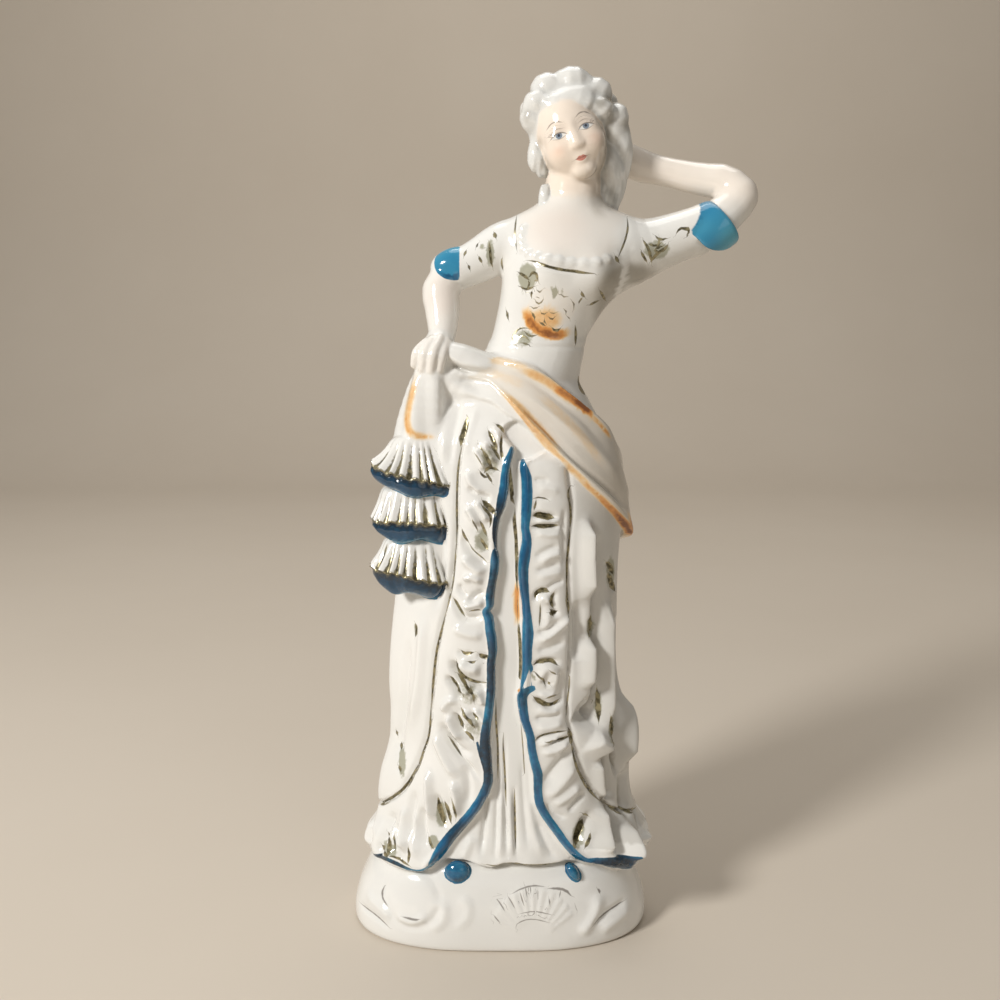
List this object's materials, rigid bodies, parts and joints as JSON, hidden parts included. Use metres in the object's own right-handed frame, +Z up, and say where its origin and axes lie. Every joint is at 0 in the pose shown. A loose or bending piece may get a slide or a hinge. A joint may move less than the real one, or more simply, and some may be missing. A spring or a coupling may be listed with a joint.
{
  "type": "porcelain lady figurine",
  "caption": "Glazed porcelain figurine of a standing lady in a draped gown with ruched borders and a sash, one hand behind her head, on an oval mound base, cast in one piece.",
  "frame": {"origin": "centre of the oval underside of the mound base, on the surface it stands on", "axes": "+Z up through the figure, -Y towards the viewer in front of her face, +X towards the viewer's right, the side of the raised arm"},
  "size_m": [0.094, 0.0412, 0.1984],
  "materials": {
    "glazed_porcelain": "clear glaze over white porcelain, hand painted in blue, orange and green with gold lustre lines"
  },
  "bodies": {
    "root": {"figurine": "glazed_porcelain"}
  },
  "joints": []
}
